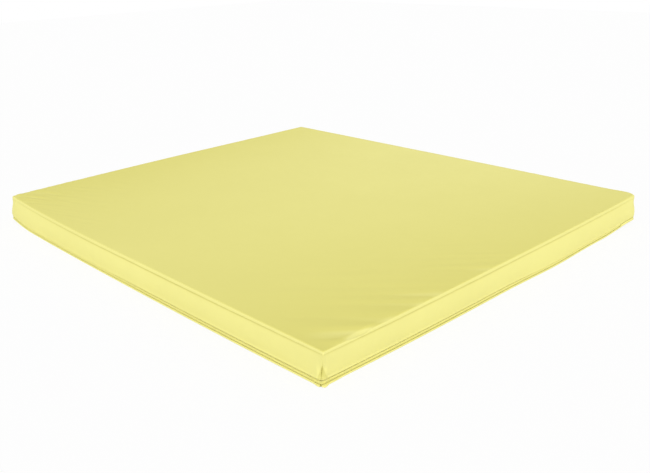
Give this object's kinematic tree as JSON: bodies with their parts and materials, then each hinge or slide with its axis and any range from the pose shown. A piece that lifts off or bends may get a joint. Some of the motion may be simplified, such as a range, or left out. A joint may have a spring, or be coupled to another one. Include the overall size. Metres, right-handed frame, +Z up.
{
  "type": "foam floor mat",
  "caption": "Square foam mat in a sewn coated-cloth cover with rolled, seamed edges and a zip low on its sides, so the foam can be taken out.",
  "frame": {"origin": "middle of the underside, on the floor", "axes": "+Z up; +X and +Y square to the sides, with the plain unzipped side at +Y"},
  "size_m": [1, 1, 0.067],
  "materials": {
    "cover": "matt coated cloth",
    "foam": "open-cell foam",
    "zip_tape": "woven",
    "zip_coil": "satin",
    "zip_metal": "satin plated",
    "thread": "spun thread"
  },
  "bodies": {
    "mat": {"foam_core": "foam", "top_panel": "cover", "band_front": "cover", "band_right": "cover", "band_back": "cover", "band_left": "cover", "bottom_panel": "cover", "zip_tape_upper": "zip_tape", "zip_tape_lower": "zip_tape", "zip_coil_upper": "zip_coil", "zip_coil_lower": "zip_coil", "zip_stops_top": "zip_coil", "zip_stop_bottom": "zip_coil", "top_seam_thread": "thread", "corner_seam_threads": "thread", "bottom_seam_thread": "thread", "zip_thread_upper": "thread", "zip_thread_lower": "thread"},
    "slider": {"zip_slider": "zip_metal"},
    "pull_tab": {"zip_pull_tab": "zip_metal"}
  },
  "joints": [
    {"name": "zip_slide", "type": "slide", "parent": "mat", "child": "slider", "axis": [0, -1, 0], "range_m": [0, 0.82], "deforming": ["zip_coil_upper", "zip_coil_lower"]},
    {"name": "zip_pull", "type": "hinge", "parent": "slider", "child": "pull_tab", "pos_m": [-0.4974, 0.43, 0.0065], "axis": [0, 0, -1], "range_deg": [0, 175]}
  ]
}
